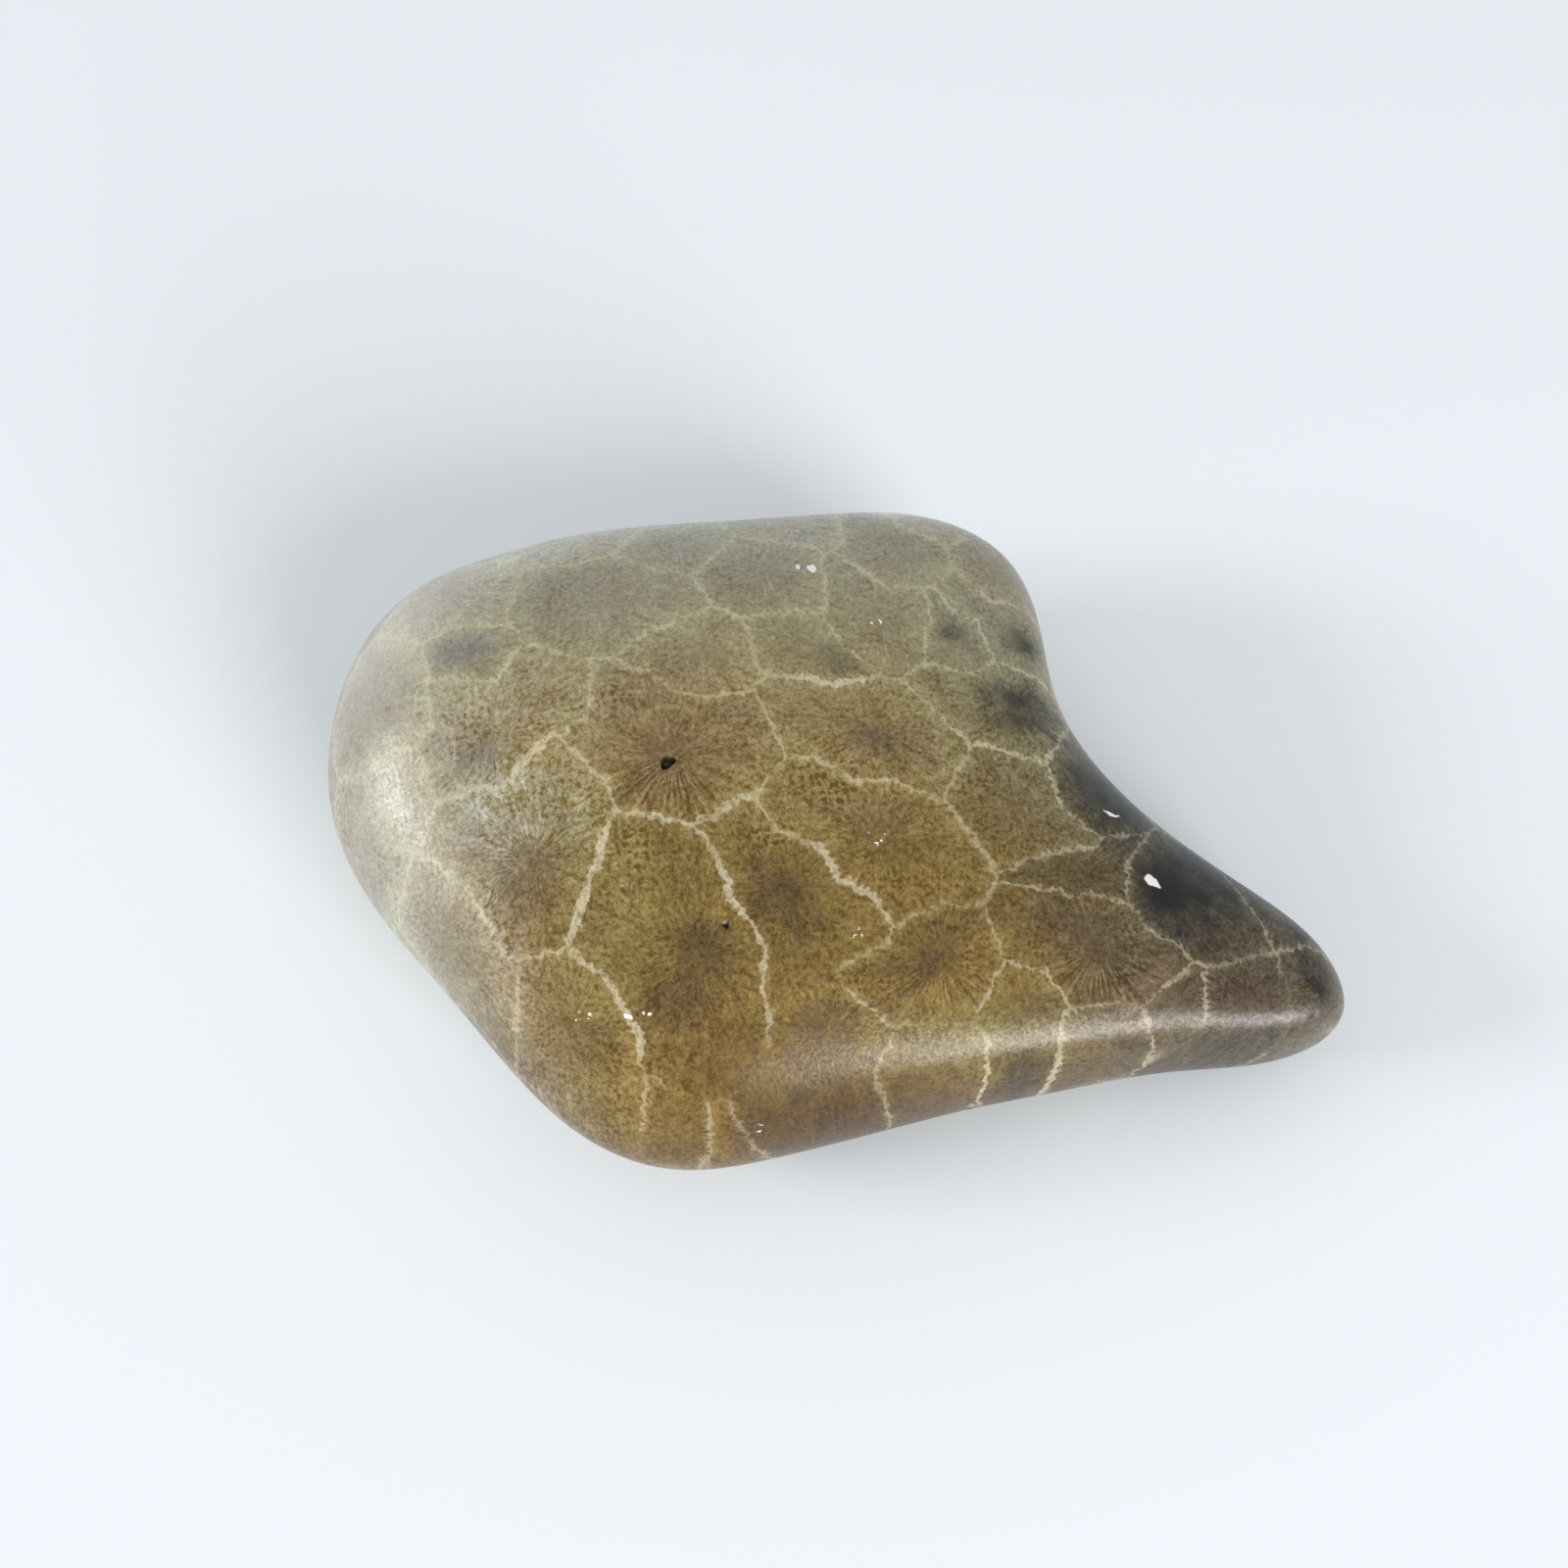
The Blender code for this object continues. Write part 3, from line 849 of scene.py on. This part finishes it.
# the black inside these pits is painted shade in the hole
PAINTED_SHADE_FROM = 0.5         # pits darker than this are painted black inside


def plan_ovals(pits):
    """The ovals of the pits whose floors get painted shade, moved from where they lie on the
    skin to the plan.
    """
    ovals = []
    for x, y, z, half_length, half_width, turn, floor_shade in pits:
        spread = (PLAN_HEIGHT + ROOT_DEPTH) / (z + ROOT_DEPTH)
        if floor_shade > PAINTED_SHADE_FROM:
            ovals.append((x * spread, y * spread, half_length, half_width, turn))
    return ovals


write_vectors(stone_mesh, "darkening", "POINT", np.stack(
    (soft_mask(STAINS), soft_mask(SHADES), soft_mask(DEEP_RAYS)), 1))
write_vectors(stone_mesh, "wall strength", "POINT", np.stack(
    (soft_mask(BRIGHT_WALLS, BRIGHT_EDGE), soft_mask(FAINT_WALLS, FAINT_EDGE),
     soft_mask(DOT_PATCHES)), 1))
write_nearest_oval("grain", GRAINS_AND_GLINTS)
write_nearest_oval("crumb", CRUMBS)
write_nearest_oval("pit", plan_ovals(pit_floors))
wash = np.ones((len(skin_places), 3))
for _, *oval, tint in WASHES:
    wash *= 1.0 + soft_mask([(*oval, 1.0)])[:, None] * (np.array(tint) - 1.0)
write_vectors(stone_mesh, "wash", "POINT", wash)
print("The skin holds", len(stone_mesh.attributes), "attributes")


# %% Draw a sharp oval in the shader
def sharp_oval(kit, plan, name, edge_from, edge_to):
    """1 in the face's nearest oval of this name, 0 outside."""
    u, v, _ = kit.split(plan)
    place = kit.gather(u, v, 1.0)
    along = kit.vector("DOT_PRODUCT", place, kit.attribute(f"{name} along"))
    across = kit.vector("DOT_PRODUCT", place, kit.attribute(f"{name} across"))
    size = kit.vector("LENGTH", kit.gather(along, across, 0.0))
    return kit.step(size, edge_to, edge_from)


# %% [markdown]
# ## The colours of the stone
# The lime mud that filled the coral is golden brown at the front, olive tan over the middle
# and grey beige at the back and left, and it greys towards the tail.  A colour ramp along
# one slanting line, two soft side masks and the list of tints say that in a few numbers.
# Near a tube's wall the mud is yellower, and in its middle duller, so the distance from the
# wall tints it too.

# %% Choose the colours
GROUND_RAMP = [
    # place from the front to the back, colour
    (0.00, (0.195, 0.125, 0.034)),
    (0.22, (0.180, 0.115, 0.030)),
    (0.42, (0.180, 0.118, 0.034)),
    (0.58, (0.235, 0.178, 0.075)),
    (0.75, (0.265, 0.235, 0.138)),
    (1.00, (0.366, 0.368, 0.304)),
]
LEFT_BEIGE = (0.335, 0.322, 0.262)
TAIL_BROWN = (0.105, 0.085, 0.058)
# black of the stains, and the painted shade on the pits' floors
STAIN_AND_PIT_SHADE_COLOUR = (0.004, 0.006, 0.006)
SHADE_TINT = (0.56, 0.55, 0.66)
# the white of the calcite grains, and of the painted glints among them
GRAIN_AND_GLINT_WHITE = (0.80, 0.80, 0.76)
WALL_PALE = (0.515, 0.465, 0.325)
RIM_TINT = (1.08, 1.08, 1.02)
MIDDLE_TINT = (0.96, 0.925, 0.93)
RAMP_SPAN = 56.0        # mm from the front end of the ramp to its back end
RAMP_START = 0.54       # where on the ramp the plan's origin lies
RAMP_SLANT = -0.0022    # how much further forward each mm towards the tail is
RAMP_WANDER = 0.24      # how far noise moves a spot along the ramp
LEFT_REACH = (-18.0, -36.0)     # from the first u to the second, the mud turns beige
TAIL_REACH = (10.0, 34.0)       # and here it turns brown
RIM_REACH = (0.2, 2.8)          # mm from the wall over which the mud dulls
BLOTCH_SIZE, BLOTCH_REACH = 4.5, 7.0    # mm; noise moves that distance about


def ground_colour(kit, plan, wall):
    """The colour of the mud before grain, stains and walls."""
    u, v, _ = kit.split(plan)
    slant = kit.number("MULTIPLY_ADD", v, 1.0 / RAMP_SPAN, RAMP_START)
    slant = kit.number("MULTIPLY_ADD", u, RAMP_SLANT, slant)
    wander = kit.noise(plan, 14.0)["Fac"]
    wander = kit.number("MULTIPLY_ADD", wander, RAMP_WANDER, -RAMP_WANDER / 2)
    slant = kit.number("ADD", slant, wander)
    ramp = kit.node("ShaderNodeValToRGB")
    stops = ramp.color_ramp.elements
    for number, (place, colour) in enumerate(GROUND_RAMP):
        stop = stops[number] if number < 2 else stops.new(place)
        stop.position, stop.color = place, (*colour, 1.0)
    kit.join(slant, ramp.inputs[0])
    colour = kit.blend(kit.step(u, *LEFT_REACH), ramp.outputs[0], LEFT_BEIGE)
    colour = kit.blend(kit.step(u, *TAIL_REACH, 0.0, 0.9), colour, TAIL_BROWN)
    blotch = kit.noise(plan, BLOTCH_SIZE, detail=3.0)["Fac"]
    inwards = kit.number("MULTIPLY_ADD", blotch, BLOTCH_REACH,
                         kit.number("ADD", wall, -BLOTCH_REACH / 2))
    colour = kit.vector("MULTIPLY", colour, kit.attribute("wash"))
    tint = kit.blend(kit.step(inwards, *RIM_REACH), RIM_TINT, MIDDLE_TINT)
    return kit.vector("MULTIPLY", colour, tint)


print("The ground runs through", len(GROUND_RAMP), "colours")

# %% [markdown]
# ## Blades and dots
# Blades ran from each tube's wall towards its middle, and thin plates crossed them near the
# wall, so polished tubes show faint uneven rays and, in places, rows of dark dots.  Drawn
# spokes would be too even.  Here broad rays and fine hairs are noise that is stretched
# outwards from the tube's middle, and only where the blades show best does a true comb join
# them.  The dots are the middles of small Voronoi cells.

# %% Wire the blades and the dots
SEPTA = 44              # blades in one tube
BLADE_SWAY = 2.2        # how far noise turns them, in radians of the comb
RAY_STRETCH = 0.28      # how fast a ray changes outwards; 0 would be a straight spoke
HAIR_FINENESS = 9.0     # hairs round the middle, growing by the next number each mm
HAIR_SPREAD = 1.3
DOT_SPACING = 0.62      # mm between the rows of dots
RAY_STRENGTH = 1.20
HAIR_STRENGTH = 1.50
DOT_STRENGTH = 0.95


def blade_pattern(kit, plan, outwards, wall):
    """Rays and dots as a lightening about zero, and even blades from 0 to 1."""
    across, up, _ = kit.split(outwards)
    angle = kit.number("ARCTAN2", up, across)
    radius = kit.vector("LENGTH", outwards)
    heading = kit.vector("NORMALIZE", outwards)
    deep = kit.split(kit.attribute("darkening"))[2]

    def streaks(place, from_radius, full_radius):
        """Noise that is laid on directions, fading out at the tube's middle."""
        noise = kit.noise(place, 1.0, detail=2.0, roughness=0.7)["Fac"]
        return kit.number("MULTIPLY", kit.number("SUBTRACT", noise, 0.5),
                          kit.step(radius, from_radius, full_radius))

    length = kit.vector("SCALE", (0.0, 0.0, 1.0),
                        scale=kit.number("MULTIPLY", radius, RAY_STRETCH))
    spokes = kit.vector("SCALE", heading, scale=SEPTA / math.tau)
    ray = streaks(kit.vector("ADD", spokes, length), 0.4, 2.2)
    ray = kit.number("MULTIPLY", ray, kit.number("MULTIPLY_ADD", deep, 1.5, 0.9))
    fineness = kit.number("MULTIPLY_ADD", radius, HAIR_SPREAD, HAIR_FINENESS)
    hair = streaks(kit.vector("SCALE", heading, scale=fineness), 0.3, 2.6)

    sway = kit.noise(plan, 1.7)["Fac"]
    turn = kit.number("MULTIPLY_ADD", sway, BLADE_SWAY, kit.number("MULTIPLY", angle, SEPTA))
    blade = kit.number("MULTIPLY_ADD", kit.number("SINE", turn), 0.5, 0.5)
    comb = kit.number("MULTIPLY", kit.number("SUBTRACT", blade, 0.5),
                      kit.step(radius, 0.6, 2.0))
    comb = kit.number("MULTIPLY", comb, kit.number("MULTIPLY_ADD", deep, 0.48, 0.04))

    sieve = kit.node("ShaderNodeTexVoronoi", voronoi_dimensions="2D")
    sieve.inputs["Scale"].default_value = 1.0 / DOT_SPACING
    sieve.inputs["Randomness"].default_value = 0.50
    kit.join(plan, sieve.inputs["Vector"])
    dot = kit.step(sieve.outputs["Distance"], 0.42, 0.20)
    dotted = kit.split(kit.attribute("wall strength"))[2]
    patchy = kit.step(kit.noise(plan, 4.2)["Fac"], 0.50, 0.65)
    here = kit.number("MAXIMUM", dotted, kit.number("MULTIPLY", patchy, 0.45))
    here = kit.number("MULTIPLY", here, kit.step(wall, 0.30, 0.55))
    here = kit.number("MULTIPLY", here, kit.step(wall, 4.6, 2.8))
    dots = kit.number("MULTIPLY", kit.number("MULTIPLY_ADD", dot, -DOT_STRENGTH, 0.10), here)

    rays = kit.number("MULTIPLY_ADD", ray, RAY_STRENGTH, comb)
    rays = kit.number("MULTIPLY_ADD", hair, HAIR_STRENGTH, rays)
    return kit.number("ADD", rays, dots), blade


print("Blades:", SEPTA, "to a tube")

# %% [markdown]
# ## Walls
# A wall is a thin pale ridge of calcite that swells and thins, is beaded like a string of
# crystals, and is bright in one stretch and all but lost in the next.  A line of even width
# would look drawn on.  So its half width, in millimetres, comes from slow noise, quick noise
# and the blades that meet it, and each wall and each tube draws its own strength by lot,
# from a white noise that is fed with where they stand.

# %% Wire the walls
WALL_SWELL = 0.55       # how much slow noise widens a wall
WALL_THINNING = -0.49   # what is taken off all half widths
BEAD_SIZE = 0.45
BEAD_HEIGHT = 0.70
BRIGHT_WIDENING = 0.17


def lot(kit, vector):
    """A number from 0 to 1 that stays the same while the vector does."""
    draw = kit.node("ShaderNodeTexWhiteNoise", noise_dimensions="3D")
    kit.join(vector, draw.inputs["Vector"])
    return draw.outputs["Value"]


def wall_masks(kit, plan, wall, blade, mark, middle):
    """How much of a wall shows here, its paler fringe, and whether it is a bright one."""
    bright, faint, _ = kit.split(kit.attribute("wall strength"))
    side = lot(kit, middle)
    swell = kit.noise(plan, 2.2, detail=3.0)["Fac"]
    half = kit.number("MULTIPLY_ADD", swell, WALL_SWELL, WALL_THINNING)
    half = kit.number("MULTIPLY_ADD", bright, BRIGHT_WIDENING, half)
    half = kit.number("MULTIPLY_ADD", kit.number("SUBTRACT", blade, 0.5),
                      kit.number("MULTIPLY_ADD", side, 0.10, 0.03), half)
    bead = kit.noise(plan, BEAD_SIZE, detail=1.0)["Fac"]
    half = kit.number("MULTIPLY_ADD", bead, BEAD_HEIGHT, half)
    near = kit.number("SUBTRACT", wall, half)

    fade = kit.step(kit.noise(plan, 5.0)["Fac"], 0.30, 0.50, 0.45, 1.0)
    present = kit.number("MULTIPLY", kit.number("SUBTRACT", 1.0, faint), fade)
    strength = kit.number("MULTIPLY_ADD", lot(kit, mark), 0.30, 0.70)
    strength = kit.number("MULTIPLY_ADD", bright, 0.45, strength, clamp=True)
    crystals = kit.noise(plan, 0.30, detail=1.0)["Fac"]
    core = kit.number("MULTIPLY", kit.step(near, 0.10, -0.10),
                      kit.step(crystals, 0.25, 0.58, 0.35, 1.0))
    core = kit.number("MULTIPLY", core, kit.number("MULTIPLY", strength, present))

    tooth = kit.number("MULTIPLY_ADD", blade, 0.8, 0.2)
    fringe = kit.number("MULTIPLY", kit.step(near, 0.6, 0.0), tooth)
    fringe = kit.number("MULTIPLY", fringe, kit.number("MULTIPLY_ADD", side, 0.35, 0.02))
    return core, kit.number("MULTIPLY", fringe, present), bright


print("Walls swell by up to", WALL_SWELL, "mm")

# %% [markdown]
# ## Grain
# Under the blades lies the grain of the limestone, about as strong at every size from a
# quarter of a millimetre up.  One fractal noise with a high roughness gives that, with a
# slower noise for mottling.  The grain is quieter at the pale back and left, where haze on
# the skin veils it.  Stains soaked in along the blades, so a plain soft edge would look
# airbrushed, and theirs are torn with the rays and a loose noise.

# %% Wire the grain and the torn edges
GRAIN_STRENGTH = 3.7
MOTTLE_STRENGTH = 0.95
DARKEST, LIGHTEST = -0.60, 1.00
TEAR_BY_NOISE, TEAR_BY_RAYS = 1.6, -0.4


def grain_shade(kit, u, v, plan, grain, rays):
    """The lightening of the ground about zero, and how much of it this part shows."""
    mottle = kit.noise(plan, 1.8, detail=2.0)["Fac"]
    shade = kit.number("MULTIPLY", kit.number("SUBTRACT", grain, 0.5), GRAIN_STRENGTH)
    shade = kit.number("MULTIPLY_ADD", kit.number("SUBTRACT", mottle, 0.5),
                       MOTTLE_STRENGTH, shade)
    shade = kit.number("ADD", shade, rays)
    shown = kit.number("MULTIPLY", kit.step(v, 12.0, -2.0, 0.55, 1.0),
                       kit.step(u, -34.0, -20.0, 0.5, 1.0))
    shade = kit.number("MULTIPLY", shade, shown)
    shade = kit.number("MINIMUM", kit.number("MAXIMUM", shade, DARKEST), LIGHTEST)
    return shade, shown


def torn(kit, mask, tear):
    """The mask with its slopes roughened; where it is 0 or 1 it stays so."""
    slope = kit.number("MULTIPLY", mask, kit.number("SUBTRACT", 1.0, mask))
    return kit.number("MULTIPLY_ADD", kit.number("MULTIPLY", slope, 4.0), tear, mask,
                      clamp=True)


print("The grain runs from", DARKEST, "to", LIGHTEST)

# %% [markdown]
# ## The finish
# The layers go on as they lie in the stone: the mud with its grain, the dull shades, the
# walls' fringes, the stains, the walls over them, and last the pits and the white grains.
# Polished limestone is a hard, clear gloss that fine scratches soften, so the roughness
# follows the grain a little, and a bump far finer than the mesh breaks up the lamps' edges.

# %% Lay the colours
GRAIN_TINT = (0.82, 1.00)       # how strongly the grain works on red and green
GRAIN_BLUE = (0.90, 0.72)       # and on blue: by how much it shows here, and at least
FRINGE_LIGHT, FRINGE_PALE = 1.40, 0.40
STAINED_WALL = -0.55            # how far a stain darkens a wall
WALL_GRAIN = 0.35               # how much of the ground's grain a wall shows


def stone_colour(kit, plan, wall, tone, rays, grain, walls):
    """The colour without the pits and the white grains, and the loose noise that tore it."""
    u, v, _ = kit.split(plan)
    shade, shown = grain_shade(kit, u, v, plan, grain, rays)
    core, fringe, bright = walls
    loose = kit.noise(plan, 1.6, detail=3.0)["Color"]
    loose = kit.vector("SUBTRACT", loose, (0.5, 0.5, 0.5))
    tear = kit.number("MULTIPLY_ADD", kit.split(loose)[0], TEAR_BY_NOISE,
                      kit.number("MULTIPLY", rays, TEAR_BY_RAYS))
    soft_stain, soft_shade, _ = kit.split(kit.attribute("darkening"))
    stain, dull = torn(kit, soft_stain, tear), torn(kit, soft_shade, tear)

    ground = kit.vector("SCALE", ground_colour(kit, plan, wall), scale=tone)
    tint = kit.gather(*GRAIN_TINT, kit.number("MULTIPLY_ADD", shown, *GRAIN_BLUE))
    tinted = kit.vector("ADD", kit.vector("SCALE", tint, scale=shade), (1.0, 1.0, 1.0))
    colour = kit.vector("MULTIPLY", ground, tinted)
    colour = kit.blend(dull, colour, kit.vector("MULTIPLY", colour, SHADE_TINT))
    rim = kit.blend(FRINGE_PALE, kit.vector("SCALE", ground, scale=FRINGE_LIGHT), WALL_PALE)
    colour = kit.blend(fringe, colour, rim)
    colour = kit.blend(stain, colour, STAIN_AND_PIT_SHADE_COLOUR)
    line = kit.blend(kit.number("MULTIPLY_ADD", bright, 0.5, 0.15), rim, WALL_PALE)
    line = kit.vector("SCALE", line, scale=kit.number("MULTIPLY_ADD", stain, STAINED_WALL, 1.0))
    speckle = kit.number("MULTIPLY_ADD", shade, WALL_GRAIN, 1.0)
    return kit.blend(core, colour, kit.vector("SCALE", line, scale=speckle)), loose


def with_flaws(kit, place, plan, loose, colour):
    """The colour with the pits' black painted-shade floors, the white grains (partly painted
    glints) and crumbs.
    """
    # the pits' floors are painted black: painted shade in the holes
    colour = kit.blend(sharp_oval(kit, plan, "pit", 0.90, 1.20), colour, STAIN_AND_PIT_SHADE_COLOUR)
    chipped = kit.vector("ADD", plan, kit.vector("SCALE", loose, scale=0.5))
    crumbs = kit.step(kit.noise(place, 0.35)["Fac"], 0.61, 0.66)
    crumbs = kit.number("MULTIPLY", crumbs, sharp_oval(kit, plan, "crumb", 0.6, 1.0))
    white = kit.number("MAXIMUM", sharp_oval(kit, chipped, "grain", 0.75, 1.05), crumbs)
    return kit.blend(white, colour, GRAIN_AND_GLINT_WHITE)


print("Walls are stained by", -STAINED_WALL, "and grained by", WALL_GRAIN)

# %% Polish the stone
MATT, GLOSSY = 0.36, 0.28       # roughness of the darkest and the lightest grain
LIMESTONE_IOR = 1.46
BUMP_STRENGTH, BUMP_HEIGHT = 0.5, 0.06 * MM


def build_stone_finish(material):
    """Wires the colours and the gloss into the shader, and says how many nodes it took."""
    kit = Wiring(material.node_tree)
    shader = material.node_tree.nodes["Principled BSDF"]
    beyond = (kit.ROW_LENGTH + 1) * kit.COLUMN_WIDTH
    shader.location = (beyond, 0)
    material.node_tree.nodes["Material Output"].location = (beyond + 2 * kit.COLUMN_WIDTH, 0)
    place = kit.node("ShaderNodeTexCoord").outputs["Object"]
    place = kit.vector("SCALE", place, scale=1.0 / MM)
    grown = kit.node("ShaderNodeGroup", node_tree=colony)
    kit.join(place, grown.inputs[0])
    plan, outwards, middle, wall, tone, mark = (
        grown.outputs[name] for name in ("Plan", "From Middle", "Middle", "Wall", "Tone",
                                         "Wall Mark"))
    rays, blade = blade_pattern(kit, plan, outwards, wall)
    walls = wall_masks(kit, plan, wall, blade, mark, middle)
    grain = kit.noise(place, 0.36, detail=3.0, roughness=0.85)["Fac"]
    colour, loose = stone_colour(kit, plan, wall, tone, rays, grain, walls)
    kit.join(with_flaws(kit, place, plan, loose, colour), shader.inputs["Base Color"])

    kit.join(kit.step(grain, 0.40, 0.60, MATT, GLOSSY), shader.inputs["Roughness"])
    shader.inputs["IOR"].default_value = LIMESTONE_IOR
    shader.inputs["Specular IOR Level"].default_value = 0.50
    ripple = kit.node("ShaderNodeBump")
    ripple.inputs["Strength"].default_value = BUMP_STRENGTH
    ripple.inputs["Distance"].default_value = BUMP_HEIGHT
    kit.join(kit.noise(place, 0.30, detail=3.0, roughness=0.6)["Fac"], ripple.inputs["Height"])
    kit.join(ripple.outputs[0], shader.inputs["Normal"])
    return kit.count


print("The finish uses", build_stone_finish(stone_finish), "nodes beside the colony's")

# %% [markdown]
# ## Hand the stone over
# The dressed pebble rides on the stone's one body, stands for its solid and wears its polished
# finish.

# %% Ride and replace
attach(stone, "root")
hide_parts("stone")
